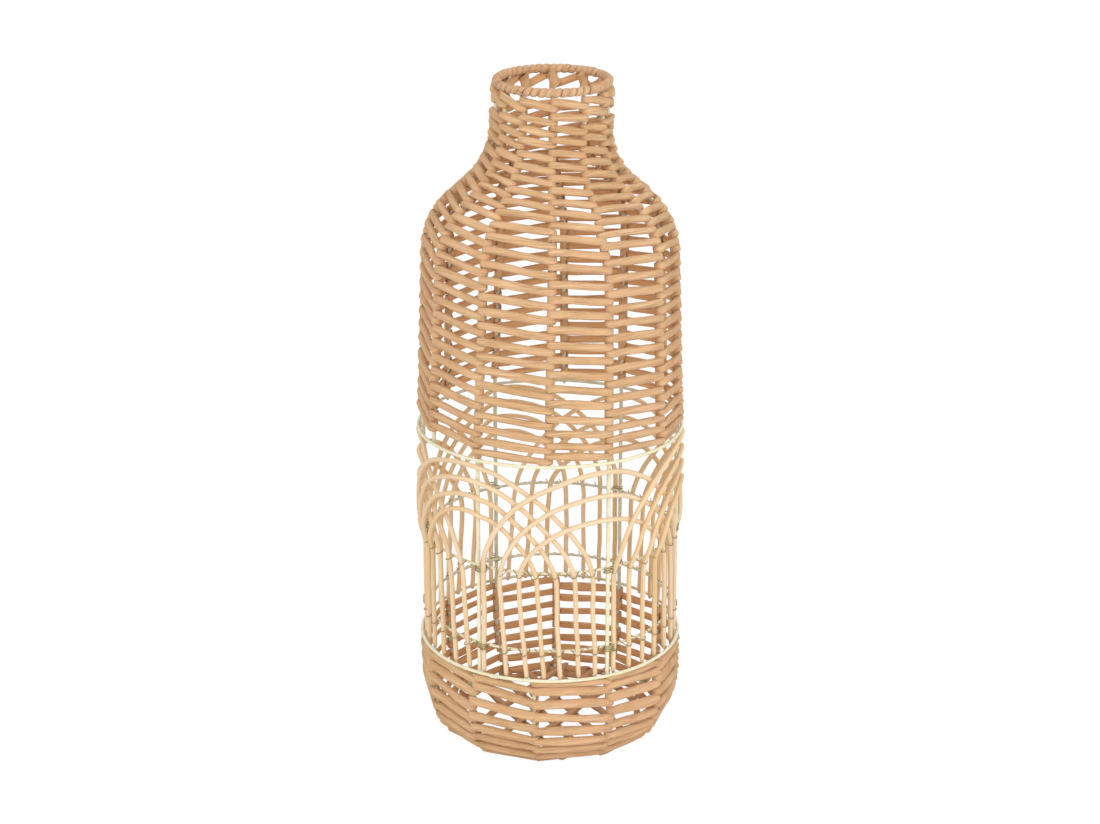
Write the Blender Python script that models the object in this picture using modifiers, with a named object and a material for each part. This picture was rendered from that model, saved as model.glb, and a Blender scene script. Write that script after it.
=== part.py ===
"""Woven bottle vase: a welded wire frame, flat cord woven above and below, and a lattice of bent sticks.

Metres, +Z up. The origin is the middle of the ring that the vase stands on.
An azimuth is in degrees, from the front (-Y) towards +X.
"""

import math

import bmesh
import bpy
import numpy as np
from mathutils import Vector

# Frame
RING_RADIUS = 0.098
RING_WIRE = 0.0025
STAKE_WIRE = 0.003
LOWER_RING_Z = 0.0763
UPPER_RING_Z = 0.2426
RIM_Z = 0.4986
SHOULDER_TAPER = 0.0047
SHOULDER_ARC = 0.057
SHOULDER_SLOPE = 48.0
NECK_ARC = 0.0546
NECK_RADIUS = 0.040
NECK_LENGTH = 0.031
FOOT_HEIGHT = 0.043
FOOT_RUN_IN = 0.002
BASE_RING_RADIUS = 0.0678
BASE_RING_TUBE = 0.0052
BASE_FLAT_CUT = 0.0005
LONG_STAKES = 6
FIRST_STAKE = -33.0
NECK_LEAN = 0.0019
NECK_TILT = 0.035

# How far each stake stands from its even place, in degrees, as the photo shows it
FOOT_SHIFTS = (-4.0, -4.0, 1.0, 0.0, 0.0, 0.0, -2.0, 0.0, 0.0, 0.0, -2.0, -3.0)
BAND_SHIFTS = (0.0, 2.4, -0.9, 0.0, 0.0, -2.0, -2.8, -3.8, 0.0, -1.0, 0.0, 0.0)
BODY_SHIFTS = (0.0, 2.4, 0.8, 0.0, 0.0, -2.0, -5.8, -3.8, -2.1, -1.0, 0.0, 0.0)
NECK_SHIFTS = (3.0, 4.5, 7.0, 5.0, 2.0, 0.0, -1.5, 2.0, 3.0, 3.0, 3.0, 3.0)

# Lattice
STICK = 0.0036
TIE_WIRE = 0.0024
LOWER_TIE_Z = 0.0972
UPPER_TIE_Z = 0.1588
ARCHES_PER_GROUP = (3, 4)
STICKS_BETWEEN_STAKES = 7
FIRST_LEGS = (3.0, 3.0, 3.0, 2.5, 3.0, 3.0)
LAST_LEGS = (7.0, 7.0, 7.0, 9.9, 7.0, 7.0)
LEG_LEANS = ((0.0, 2.7, 3.8, 3.2, 2.0, 2.0, 1.3), (0.3, 0.2, 0.0, 0.4, 1.9, 3.4, 4.0))
CROWN_DROPS = (0.0062, 0.0036)
LATTICE_DEPTH = 0.0360
LEFT_SPRING_Z = 0.147
RIGHT_SPRING_Z = 0.154
RIGHT_HALF_POWER = 1.32
CROSSING_RISE = 0.010
STAKE_CROSSING = 2.0
STAKE_CROSSING_FALL = 5.5

# Weave
CORD_WIDTH = 0.0056
CORD_THICKNESS = 0.0028
BODY_ROWS = 15
NECK_ROWS = 11.25
FOOT_ROWS = 8.25
BODY_ROW = 0.0110
NECK_ROW = 0.0093
TIGHT_ROW = 0.0082
FOOT_ROW = 0.0118
UNDER_ROW = 0.0080

# Rim
RIM_WIRE = 0.0026
RIM_CORD_WIDTH = 0.0058
RIM_CORD_THICKNESS = 0.0017
RIM_CURLS = 32

# Base
BAR = 0.0044
LOWER_BARS = 4
UPPER_BARS = 3
LOWER_BAR_SPACING = 0.021
UPPER_BAR_SPACING = 0.025

GAP = 0.0003
CORD_GAP = 0.0004
LAYER_GAP = 0.0006
RING_STEPS = 48
SHORT_RING_STEPS = 36

FRAME_RADIUS = RING_RADIUS - RING_WIRE / 2 - GAP - STAKE_WIRE / 2
LEG_RADIUS = RING_RADIUS - RING_WIRE / 2 - GAP - STICK / 2
TIE_RADIUS = LEG_RADIUS - STICK / 2 - GAP - TIE_WIRE / 2
OVER_RADIUS = max(LEG_RADIUS + STICK, FRAME_RADIUS + STAKE_WIRE / 2 + STICK / 2) + LAYER_GAP
SHOULDER_RADIUS = FRAME_RADIUS - SHOULDER_TAPER
CORD_LIFT = STAKE_WIRE / 2 + CORD_GAP + CORD_THICKNESS / 2
STAKE_COUNT = 2 * LONG_STAKES
STAKE_STEP = 360.0 / STAKE_COUNT
GROUP_STEP = 360.0 / LONG_STAKES

# The stakes run under the base one cord above the ground.
FOOT_WIRE_Z = GAP + CORD_THICKNESS + CORD_GAP + STAKE_WIRE / 2
FOOT_END_RADIUS = BASE_RING_RADIUS + BASE_RING_TUBE / 2 + GAP

# A curl's sides are chords, so they stand off the rim wire by more than the bare clearance.
CURL_POINTS = 7
RIM_COIL_RADIUS = (RIM_WIRE / 2 + GAP + RIM_CORD_THICKNESS / 2) / math.cos(math.pi / CURL_POINTS)
RIM_TUBE_RADIUS = RIM_COIL_RADIUS + RIM_CORD_THICKNESS / 2
STAKE_TOP_Z = RIM_Z - RIM_TUBE_RADIUS - GAP


def clear_scene():
    for item in list(bpy.data.objects):
        bpy.data.objects.remove(item, do_unlink=True)


def new_collection(name):
    collection = bpy.data.collections.new(name)
    bpy.context.scene.collection.children.link(collection)
    return collection


def new_material(name, colour, roughness, metallic=0.0):
    material = bpy.data.materials.new(name)
    material.use_nodes = True
    shader = material.node_tree.nodes["Principled BSDF"]
    shader.inputs["Base Color"].default_value = (*colour, 1.0)
    shader.inputs["Roughness"].default_value = roughness
    shader.inputs["Metallic"].default_value = metallic
    return material


def at(azimuth, radius, height):
    angle = math.radians(azimuth)
    return Vector((radius * math.sin(angle), -radius * math.cos(angle), height))


def smooth_step(value):
    value = min(max(value, 0.0), 1.0)
    return value * value * (3.0 - 2.0 * value)


# The curved shape of a stake, which every woven row follows


def foot_points(steps=5):
    """A quarter of an ellipse, from the run under the base up to the straight wall."""
    inner = FOOT_END_RADIUS + FOOT_RUN_IN
    points = [(FOOT_END_RADIUS, FOOT_WIRE_Z)]
    for step in range(steps + 1):
        angle = math.radians(90.0 * step / steps)
        radius = inner + (FRAME_RADIUS - inner) * math.sin(angle)
        points.append((radius, FOOT_WIRE_Z + FOOT_HEIGHT * (1.0 - math.cos(angle))))
    return points


def shoulder_points(steps=5):
    """A convex arc, a straight slope and a hollow arc, tangent to each other and to the upright neck."""
    slope = math.radians(SHOULDER_SLOPE)
    arcs = SHOULDER_ARC + NECK_ARC
    straight = (SHOULDER_RADIUS - NECK_RADIUS - arcs * (1.0 - math.cos(slope))) / math.sin(slope)
    neck_z = RIM_Z - NECK_LENGTH
    shoulder_z = neck_z - arcs * math.sin(slope) - straight * math.cos(slope)
    points = []
    for step in range(steps + 1):
        turn = slope * step / steps
        radius = SHOULDER_RADIUS - SHOULDER_ARC * (1.0 - math.cos(turn))
        points.append((radius, shoulder_z + SHOULDER_ARC * math.sin(turn)))
    for step in range(steps + 1):
        turn = slope * (1.0 - step / steps)
        radius = NECK_RADIUS + NECK_ARC * (1.0 - math.cos(turn))
        points.append((radius, neck_z - NECK_ARC * math.sin(turn)))
    return points


FOOT = foot_points()
SHOULDER = shoulder_points()
PROFILE = np.array(
    FOOT
    + [(FRAME_RADIUS, LOWER_RING_Z), (FRAME_RADIUS, UPPER_RING_Z)]
    + SHOULDER
    + [(NECK_RADIUS, STAKE_TOP_Z)]
)
PROFILE_LENGTH = np.concatenate([[0.0], np.cumsum(np.hypot(*np.diff(PROFILE, axis=0).T))])


def length_at_height(height):
    """Distance along a stake from its foot to a height on its wall or neck."""
    return float(np.interp(height, PROFILE[1:, 1], PROFILE_LENGTH[1:]))


def stake_azimuth(index, height):
    """Where a stake stands at a height; long stakes have even indices and short ones odd indices."""
    place = index % STAKE_COUNT
    heights = (FOOT_WIRE_Z + FOOT_HEIGHT, LOWER_RING_Z, UPPER_RING_Z, SHOULDER[0][1], RIM_Z - NECK_LENGTH)
    lower = FOOT_SHIFTS[place] if place % 2 else BAND_SHIFTS[place]
    shifts = (FOOT_SHIFTS[place], lower, BAND_SHIFTS[place], BODY_SHIFTS[place], NECK_SHIFTS[place])
    return FIRST_STAKE + STAKE_STEP * index + float(np.interp(height, heights, shifts))


def on_stake(length):
    """Radius, height and outward direction (radial, upward) at a distance along a stake."""
    radius = float(np.interp(length, PROFILE_LENGTH, PROFILE[:, 0]))
    height = float(np.interp(length, PROFILE_LENGTH, PROFILE[:, 1]))
    reach = CORD_WIDTH
    ends = (length - reach, length + reach)
    rise = np.diff(np.interp(ends, PROFILE_LENGTH, PROFILE[:, 1]))[0]
    spread = np.diff(np.interp(ends, PROFILE_LENGTH, PROFILE[:, 0]))[0]
    size = math.hypot(rise, spread)
    return radius, height, rise / size, -spread / size


# Makers of the repeated kinds of piece


def round_wire(name, points, thickness, material, collection, closed=False):
    curve = bpy.data.curves.new(name, "CURVE")
    curve.dimensions = "3D"
    curve.bevel_depth = thickness / 2
    curve.bevel_resolution = 1
    curve.use_fill_caps = not closed
    spline = curve.splines.new("POLY")
    spline.points.add(len(points) - 1)
    for spot, point in zip(spline.points, points):
        spot.co = (*point, 1.0)
    spline.use_cyclic_u = closed
    spline.use_smooth = True
    wire = bpy.data.objects.new(name, curve)
    wire.data.materials.append(material)
    collection.objects.link(wire)
    return wire


def wire_ring(name, radius, height, thickness, steps, material, collection):
    """A round ring whose corners fall on the stakes, so that each stake meets it at its full radius."""
    points = [at(FIRST_STAKE + 360.0 * index / steps, radius, height) for index in range(steps)]
    return round_wire(name, points, thickness, material, collection, closed=True)


def flat_cord(name, points, normals, width, thickness, material, collection):
    """A flat cord lofted along its points, with its broad side square to the surface that it lies on.

    Each twisted panel is folded along its outer diagonal, which keeps it off what the cord goes round.
    """
    shape = bmesh.new()
    rings = []
    last = len(points) - 1
    for index, (point, normal) in enumerate(zip(points, normals)):
        along = (points[min(index + 1, last)] - points[max(index - 1, 0)]).normalized()
        across = normal.cross(along).normalized() * (width / 2)
        outward = along.cross(across).normalized() * (thickness / 2)
        corners = (across + outward, outward - across, -across - outward, across - outward)
        rings.append([shape.verts.new(point + corner) for corner in corners])
    for ring, following, normal in zip(rings, rings[1:], normals):
        for side in range(4):
            beside = (side + 1) % 4
            panel = (ring[side], ring[beside], following[beside], following[side])
            if normal.dot(panel[0].co + panel[2].co) < normal.dot(panel[1].co + panel[3].co):
                panel = (*panel[1:], panel[0])
            shape.faces.new((panel[0], panel[1], panel[2]))
            shape.faces.new((panel[0], panel[2], panel[3]))
    shape.faces.new(reversed(rings[0]))
    shape.faces.new(rings[-1])
    bmesh.ops.recalc_face_normals(shape, faces=shape.faces)
    mesh = bpy.data.meshes.new(name)
    shape.to_mesh(mesh)
    shape.free()
    mesh.shade_smooth()
    mesh.set_sharp_from_angle(angle=math.radians(50.0))
    cord = bpy.data.objects.new(name, mesh)
    cord.data.materials.append(material)
    collection.objects.link(cord)
    return cord


def least_gap(points, normals, width, own_length):
    """The least distance between the edges of a winding and those of its neighbouring turns."""
    points = np.array(points)
    along = np.gradient(points, axis=0)
    across = np.cross(np.array(normals), along)
    across *= width / 2 / np.linalg.norm(across, axis=1)[:, None]
    travelled = np.concatenate([[0.0], np.cumsum(np.linalg.norm(np.diff(points, axis=0), axis=1))])
    fine = np.linspace(0.0, travelled[-1], 4 * len(points))
    edges = []
    for edge in (points + across, points - across):
        edges.append(np.stack([np.interp(fine, travelled, edge[:, axis]) for axis in range(3)], axis=1))
    distances = np.linalg.norm(edges[0][:, None, :] - edges[1][None, :, :], axis=2)
    apart = np.abs(fine[:, None] - fine[None, :]) > own_length
    return float(distances[apart].min())


# Frame


def make_rings(wire, collection):
    """The rings that sticks lie against have more corners, because their sides cut in between corners."""
    wire_ring("lower_ring", RING_RADIUS, LOWER_RING_Z, RING_WIRE, RING_STEPS, wire, collection)
    wire_ring("tie_ring_lower", TIE_RADIUS, LOWER_TIE_Z, TIE_WIRE, RING_STEPS, wire, collection)
    wire_ring("tie_ring_upper", TIE_RADIUS, UPPER_TIE_Z, TIE_WIRE, RING_STEPS, wire, collection)
    wire_ring("upper_ring", RING_RADIUS, UPPER_RING_Z, RING_WIRE, SHORT_RING_STEPS, wire, collection)
    wire_ring("rim_wire", NECK_RADIUS, RIM_Z, RIM_WIRE, SHORT_RING_STEPS, wire, collection)


def make_base_ring(cord, collection):
    """A cord-covered ring with a flat underside, turned about the vase's axis."""
    tube = BASE_RING_TUBE / 2
    middle_z = tube - BASE_FLAT_CUT
    half_flat = math.sqrt(tube * tube - middle_z * middle_z)
    turns = np.radians((200.0, 150.0, 90.0, 30.0, -20.0))
    corners = [(tube * math.cos(turn), middle_z + tube * math.sin(turn)) for turn in turns]
    corners += [(half_flat, 0.0), (-half_flat, 0.0)]
    mesh = bpy.data.meshes.new("base_ring")
    edges = [(index, (index + 1) % len(corners)) for index in range(len(corners))]
    mesh.from_pydata([(BASE_RING_RADIUS + x, 0.0, z) for x, z in corners], edges, [])
    ring = bpy.data.objects.new("base_ring", mesh)
    ring.data.materials.append(cord)
    collection.objects.link(ring)
    turned = ring.modifiers.new("Turned", "SCREW")
    turned.angle = math.tau
    turned.steps = SHORT_RING_STEPS
    turned.render_steps = SHORT_RING_STEPS
    turned.use_merge_vertices = True
    turned.merge_threshold = 0.00001
    return ring


def stake_points(low, high, index):
    """The points of a stake between two heights on its profile; None leaves that end whole."""
    start = 0.0 if low is None else length_at_height(low)
    end = PROFILE_LENGTH[-1] if high is None else length_at_height(high)
    inside = [length for length in PROFILE_LENGTH if start + GAP < length < end - GAP]
    points = []
    for length in [start, *inside, end]:
        radius = np.interp(length, PROFILE_LENGTH, PROFILE[:, 0])
        height = np.interp(length, PROFILE_LENGTH, PROFILE[:, 1])
        points.append(at(stake_azimuth(index, height), float(radius), float(height)))
    return points


def make_stakes(wire, collection):
    """Every other stake runs the whole height, and the rest stop at the rings beside the lattice.

    The lower ones stop under the feet of the sticks, which lean across them.
    """
    for index in range(LONG_STAKES):
        number = index + 1
        whole = stake_points(None, None, 2 * index)
        round_wire(f"stake_long_{number}", whole, STAKE_WIRE, wire, collection)
        above = stake_points(UPPER_RING_Z - RING_WIRE / 2, None, 2 * index + 1)
        round_wire(f"stake_upper_{number}", above, STAKE_WIRE, wire, collection)
        below = stake_points(None, LOWER_RING_Z - GAP, 2 * index + 1)
        round_wire(f"stake_lower_{number}", below, STAKE_WIRE, wire, collection)


# Base


def make_base_bars(cord, collection):
    """Two layers of cord-covered bars, crossing on top of the base ring."""
    base_top = BASE_RING_TUBE - BASE_FLAT_CUT
    layers = (
        ("lower", LOWER_BARS, LOWER_BAR_SPACING, FIRST_STAKE + GROUP_STEP),
        ("upper", UPPER_BARS, UPPER_BAR_SPACING, FIRST_STAKE),
    )
    for layer, (place, count, spacing, azimuth) in enumerate(layers):
        height = base_top + (layer + 1) * GAP + (layer + 0.5) * BAR
        run = at(azimuth, 1.0, 0.0)
        side = at(azimuth + 90.0, 1.0, 0.0)
        for index in range(count):
            offset = (index - (count - 1) / 2) * spacing
            reach = math.sqrt(BASE_RING_RADIUS**2 - offset**2)
            middle = side * offset + Vector((0.0, 0.0, height))
            ends = [middle - run * reach, middle + run * reach]
            round_wire(f"base_bar_{place}_{index + 1}", ends, BAR, cord, collection)


# Lattice of bent sticks


def leg(stake, slot):
    """A leg's azimuth at the spring and at the foot, in one of the seven slots from a long stake to the next."""
    here, beyond = (stake_azimuth(2 * number, UPPER_TIE_Z) for number in (stake, stake + 1))
    place = stake % LONG_STAKES
    span = beyond - here - FIRST_LEGS[place] - LAST_LEGS[place]
    spring = here + FIRST_LEGS[place] + span * slot / (STICKS_BETWEEN_STAKES - 1)
    return spring, spring + LEG_LEANS[place % len(LEG_LEANS)][slot]


def arch_points(group, rank, count):
    """One bent stick: two legs inside the lower ring, joined by a crown that rides over a stake.

    Its left half lies over the sticks of the group before, and its right half under those of the next.
    The left half is an ellipse, and the right half falls straighter.
    """
    left, left_foot = leg(group, rank)
    right, right_foot = leg(group + 1, STICKS_BETWEEN_STAKES - 1 - rank)
    middle = (left + right) / 2
    half = (right - left) / 2
    crown_z = UPPER_RING_Z - CROWN_DROPS[group % len(CROWN_DROPS)] - LATTICE_DEPTH * rank / (count - 1)
    foot_z = LOWER_RING_Z
    over_from = UPPER_TIE_Z - TIE_WIRE
    under_from = stake_azimuth(2 * group + 2, UPPER_TIE_Z) + STAKE_CROSSING
    under_to = under_from + STAKE_CROSSING_FALL

    def left_half(turn):
        height = LEFT_SPRING_Z + (crown_z - LEFT_SPRING_Z) * math.sin(turn)
        return middle - half * math.cos(turn), height

    def right_half(turn):
        height = RIGHT_SPRING_Z + (crown_z - RIGHT_SPRING_Z) * math.sin(turn) ** RIGHT_HALF_POWER
        return middle + half * math.cos(turn) ** RIGHT_HALF_POWER, height

    over_turn = math.asin((over_from - LEFT_SPRING_Z) / (crown_z - LEFT_SPRING_Z))
    places = [(left_foot, foot_z, LEG_RADIUS), (*left_half(over_turn), LEG_RADIUS)]
    over_turn = math.asin((over_from + CROSSING_RISE - LEFT_SPRING_Z) / (crown_z - LEFT_SPRING_Z))
    for step in range(9):
        turn = over_turn + (math.pi / 2 - over_turn) * step / 8
        places.append((*left_half(turn), OVER_RADIUS))
    under_turns = []
    for azimuth in (under_from, under_to):
        under_turns.append(math.acos(((azimuth - middle) / half) ** (1.0 / RIGHT_HALF_POWER)))
    places.append((*right_half(under_turns[0]), OVER_RADIUS))
    for step in range(7):
        places.append((*right_half(under_turns[1] * (1.0 - step / 6)), LEG_RADIUS))
    places.append((right_foot, foot_z, LEG_RADIUS))
    return [at(azimuth, radius, height) for azimuth, height, radius in places]


def make_lattice(stick, collection):
    for group in range(LONG_STAKES):
        count = ARCHES_PER_GROUP[group % len(ARCHES_PER_GROUP)]
        for rank in range(count):
            name = f"arch_{group + 1}_{rank + 1}"
            round_wire(name, arch_points(group, rank, count), STICK, stick, collection)


# Woven cord


def row_lengths(start, end, rows, sizes):
    """Where a winding passes each stake, along the stake.

    The sizes are pairs of a row's number and its height; all rows are scaled alike to fill the stretch.
    """
    numbers, heights = zip(*sizes)
    pace = np.interp(np.arange(round(rows * STAKE_COUNT)) / STAKE_COUNT, numbers, heights)
    travelled = np.concatenate([[0.0], np.cumsum(pace)])
    return start + (end - start) * travelled / travelled[-1]


def weave_path(lengths):
    """The cord climbs half a row across each stake and falls back on its straight run to the next."""
    points = []
    normals = []
    rows = np.gradient(lengths) * STAKE_COUNT
    for step, (length, row) in enumerate(zip(lengths, rows)):
        for side in (-1.0, 1.0):
            radius, height, out_radial, out_up = on_stake(length + side * row / 4)
            azimuth = stake_azimuth(step, height)
            radius += out_radial * CORD_LIFT
            lean = math.degrees(math.asin((STAKE_WIRE / 2 + CORD_THICKNESS) / radius))
            points.append(at(azimuth + side * lean, radius, height + out_up * CORD_LIFT))
            normals.append(at(azimuth, out_radial, out_up))
    return points, normals


def parted(points, normals, index):
    """Two cords from one, cut square in the middle of the straight run before a point."""
    middle = (points[index - 1] + points[index]) / 2
    half_gap = (points[index] - points[index - 1]).normalized() * (GAP / 2)
    normal = (normals[index - 1] + normals[index]).normalized()
    first = (points[:index] + [middle - half_gap], normals[:index] + [normal])
    second = ([middle + half_gap] + points[index:], [normal] + normals[index:])
    return first, second


def make_weaves(cord, collection):
    """One winding below the lattice, and one above it in two lengths of cord that meet at the shoulder."""
    beside_ring = RING_WIRE / 2 + GAP + CORD_WIDTH / 2 + TIGHT_ROW / 3
    rows = BODY_ROWS + NECK_ROWS
    sizes = (
        (2, TIGHT_ROW),
        (3, BODY_ROW),
        (BODY_ROWS - 2, BODY_ROW),
        (BODY_ROWS, NECK_ROW),
    )
    start = length_at_height(UPPER_RING_Z) + beside_ring
    end = PROFILE_LENGTH[-1] - CORD_WIDTH / 2 - NECK_ROW / 3
    points, normals = weave_path(row_lengths(start, end, rows, sizes))
    body, neck = parted(points, normals, 2 * STAKE_COUNT * BODY_ROWS)

    start = CORD_WIDTH / 2 + GAP + UNDER_ROW / 3
    end = length_at_height(LOWER_RING_Z) - beside_ring
    sizes = ((2, UNDER_ROW), (4, FOOT_ROW), (FOOT_ROWS, TIGHT_ROW))
    foot = weave_path(row_lengths(start, end, FOOT_ROWS, sizes))

    for name, (points, normals) in (("body_weave", body), ("neck_weave", neck), ("foot_weave", foot)):
        flat_cord(name, points, normals, CORD_WIDTH, CORD_THICKNESS, cord, collection)
        gap = least_gap(points, normals, CORD_WIDTH, NECK_RADIUS)
        print(f"{name}: least gap to itself {gap * 1000:.2f} mm")


def make_rim_wrap(cord, collection):
    """A flat cord coiled round the rim wire, stopping one cord short of where it began."""
    inner_radius = NECK_RADIUS - RIM_TUBE_RADIUS
    sweep = 360.0 - math.degrees((RIM_CORD_WIDTH + CORD_GAP) / inner_radius)
    steps = RIM_CURLS * CURL_POINTS
    points = []
    normals = []
    for step in range(steps + 1):
        azimuth = FIRST_STAKE + sweep * step / steps
        turn = math.tau * step / CURL_POINTS
        radius = NECK_RADIUS + RIM_COIL_RADIUS * math.cos(turn)
        points.append(at(azimuth, radius, RIM_Z + RIM_COIL_RADIUS * math.sin(turn)))
        normals.append(at(azimuth, math.cos(turn), math.sin(turn)))
    flat_cord("rim_wrap", points, normals, RIM_CORD_WIDTH, RIM_CORD_THICKNESS, cord, collection)
    gap = least_gap(points, normals, RIM_CORD_WIDTH, 2.0 * RIM_CORD_WIDTH)
    print(f"rim_wrap: least gap to itself {gap * 1000:.2f} mm")


def lean_neck(collection):
    """The neck leans a little to the right, and its rim a little towards the front."""
    start = RIM_Z - NECK_LENGTH - NECK_ARC / 2
    for piece in collection.objects:
        points = piece.data.vertices if piece.type == "MESH" else piece.data.splines[0].points
        for point in points:
            share = smooth_step((point.co.z - start) / (RIM_Z - start))
            point.co.x += NECK_LEAN * share
            point.co.z += NECK_TILT * share * point.co.y


def main():
    clear_scene()
    vase = new_collection("rattan_vase")
    wire = new_material("painted_wire", (0.86, 0.80, 0.58), 0.45, 0.2)
    cord = new_material("paper_cord", (0.68, 0.44, 0.24), 0.75)
    stick = new_material("rattan_stick", (0.82, 0.60, 0.38), 0.55)
    make_rings(wire, vase)
    make_base_ring(cord, vase)
    make_stakes(wire, vase)
    make_base_bars(cord, vase)
    make_lattice(stick, vase)
    make_weaves(cord, vase)
    make_rim_wrap(cord, vase)
    lean_neck(vase)


main()
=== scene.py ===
# %% [markdown]
# # A tall vase woven round a wire frame
#
# The real vase is a welded wire frame with three kinds of stuff on it. Flat paper cord is woven round the
# twelve upright wires above and below. Peeled rattan sticks are bent into a lattice between the two woven
# parts. Fine wire ties the sticks to two thin rings. A weave like this could be drawn as a pattern on a plain
# wall, but light falls through the real one. So this lesson builds each strand as its own mesh, along the
# path that the maker's hands follow.

# %% Load the frame
import math

import bpy
import numpy as np
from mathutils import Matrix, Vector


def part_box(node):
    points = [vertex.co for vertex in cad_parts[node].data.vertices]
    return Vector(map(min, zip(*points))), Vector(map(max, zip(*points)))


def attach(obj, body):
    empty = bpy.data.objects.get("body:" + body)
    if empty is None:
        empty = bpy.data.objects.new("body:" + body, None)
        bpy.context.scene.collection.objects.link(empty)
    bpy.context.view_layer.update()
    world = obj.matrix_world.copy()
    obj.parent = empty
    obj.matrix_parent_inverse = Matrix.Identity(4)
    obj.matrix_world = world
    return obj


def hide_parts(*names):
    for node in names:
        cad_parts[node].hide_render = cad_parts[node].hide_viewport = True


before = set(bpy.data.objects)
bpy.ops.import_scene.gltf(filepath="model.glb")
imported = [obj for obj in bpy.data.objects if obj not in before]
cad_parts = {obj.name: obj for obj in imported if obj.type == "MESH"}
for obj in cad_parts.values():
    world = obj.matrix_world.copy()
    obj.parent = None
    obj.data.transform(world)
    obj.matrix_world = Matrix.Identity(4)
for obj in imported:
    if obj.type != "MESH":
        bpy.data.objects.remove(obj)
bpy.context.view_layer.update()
print("nodes in the frame:", len(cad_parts))

# %% [markdown]
# ## Sizes
#
# The frame's own solids say where its rings lie, so their places are read from the solids' boxes. The shape
# of an upright wire is a formula: a foot that curls in under the base, a straight wall, and a shoulder made
# of two arcs and a slope. Writing it as a formula lets the cord find the wire's place and direction at any
# distance along it.

# %% Sizes in metres


def middle_height(node):
    low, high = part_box(node)
    return (low.z + high.z) / 2


RING_WIRE = 0.0025
STAKE_WIRE = 0.0030
TIE_RING_WIRE = 0.0021
RIM_WIRE = 0.0026
STICK = 0.0036
LOWER_RING_Z = middle_height("lower_ring")
UPPER_RING_Z = middle_height("upper_ring")
LOWER_TIE_Z = middle_height("tie_ring_lower")
UPPER_TIE_Z = middle_height("tie_ring_upper")
RIM_Z = middle_height("rim_wire")
RING_RADIUS = 0.0980
FRAME_RADIUS = 0.09495
LEG_RADIUS = 0.09465
TIE_RADIUS = 0.09135
OVER_RADIUS = 0.09885
NECK_RADIUS = 0.0400
NECK_LENGTH = 0.0310
NECK_ARC = 0.0546
SHOULDER_ARC = 0.0570
SHOULDER_RADIUS = 0.09025
BASE_RING_RADIUS = 0.0678
FOOT_Z = 0.0050
FOOT_HEIGHT = 0.0430
FOOT_OUTSET = 0.0049
CURL_TOP_Z = 0.048
WALL_TOP_Z = 0.373
SHOULDER_Z = 0.403
SHOULDER_SLOPE = 48.0
STAKE_BELOW_RIM = 0.0040
FIRST_STAKE = -33.0
LONG_STAKES = 6
STAKES = 12
STAKE_STEP = 360.0 / STAKES
GROUP_STEP = 360.0 / LONG_STAKES
print(f"rings at {LOWER_RING_Z:.4f} and {UPPER_RING_Z:.4f}, rim at {RIM_Z:.4f}")

# %% Places on and beside an upright wire


def at(azimuth, radius, height):
    """A point from its azimuth (degrees from the front towards +X), its radius and its height."""
    angle = np.radians(azimuth)
    return np.stack(np.broadcast_arrays(radius * np.sin(angle), -radius * np.cos(angle), height), axis=-1)


def smooth_step(value):
    value = np.clip(value, 0.0, 1.0)
    return value * value * (3.0 - 2.0 * value)


def unit(vectors):
    return vectors / np.linalg.norm(vectors, axis=-1, keepdims=True)


def stake_profile():
    """Radius and height of an upright wire, from its foot to the rim."""
    steps = 24
    foot_radius = BASE_RING_RADIUS + FOOT_OUTSET
    turn = np.linspace(0.0, math.pi / 2, steps)
    foot = (
        foot_radius + (FRAME_RADIUS - foot_radius) * np.sin(turn),
        FOOT_Z + FOOT_HEIGHT * (1.0 - np.cos(turn)),
    )
    slope = math.radians(SHOULDER_SLOPE)
    arcs = SHOULDER_ARC + NECK_ARC
    neck_z = RIM_Z - NECK_LENGTH
    straight = (SHOULDER_RADIUS - NECK_RADIUS - arcs * (1.0 - math.cos(slope))) / math.sin(slope)
    shoulder_z = neck_z - arcs * math.sin(slope) - straight * math.cos(slope)
    turn = np.linspace(0.0, slope, steps)
    shoulder = (
        SHOULDER_RADIUS - SHOULDER_ARC * (1.0 - np.cos(turn)),
        shoulder_z + SHOULDER_ARC * np.sin(turn),
    )
    turn = turn[::-1]
    neck = (NECK_RADIUS + NECK_ARC * (1.0 - np.cos(turn)), neck_z - NECK_ARC * np.sin(turn))
    wall = ((FRAME_RADIUS, FRAME_RADIUS), (LOWER_RING_Z, UPPER_RING_Z))
    top = ((NECK_RADIUS,), (RIM_Z - STAKE_BELOW_RIM,))
    return np.concatenate([np.array(piece) for piece in (foot, wall, shoulder, neck, top)], axis=1).T


PROFILE = stake_profile()
PROFILE_LENGTH = np.concatenate([[0.0], np.cumsum(np.linalg.norm(np.diff(PROFILE, axis=0), axis=1))])


def length_at(height):
    return float(np.interp(height, PROFILE[:, 1], PROFILE_LENGTH))


def on_stake(length):
    """Radius, height and outward direction (radial, upward) at distances along an upright wire."""
    radius, height = (np.interp(length, PROFILE_LENGTH, PROFILE[:, axis]) for axis in (0, 1))
    reach = 0.004
    ahead, behind = (
        np.stack([np.interp(length + way, PROFILE_LENGTH, PROFILE[:, axis]) for axis in (0, 1)], axis=-1)
        for way in (reach, -reach)
    )
    along = unit(ahead - behind)
    return radius, height, along[..., 1], -along[..., 0]


print(f"an upright wire is {PROFILE_LENGTH[-1]:.3f} m long")

# %% [markdown]
# ## Nothing handmade is even
#
# The uprights were welded by eye, so none stands quite in its twelfth of the circle, and the neck leans a
# little to the right and nods to the front. The shifts below are in degrees, one for each upright, at the
# foot, across the open band, on the body, on the shoulder and on the neck. For the uprights that the photo
# shows, they were judged from it.

# %% Uneven uprights and a leaning neck

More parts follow.
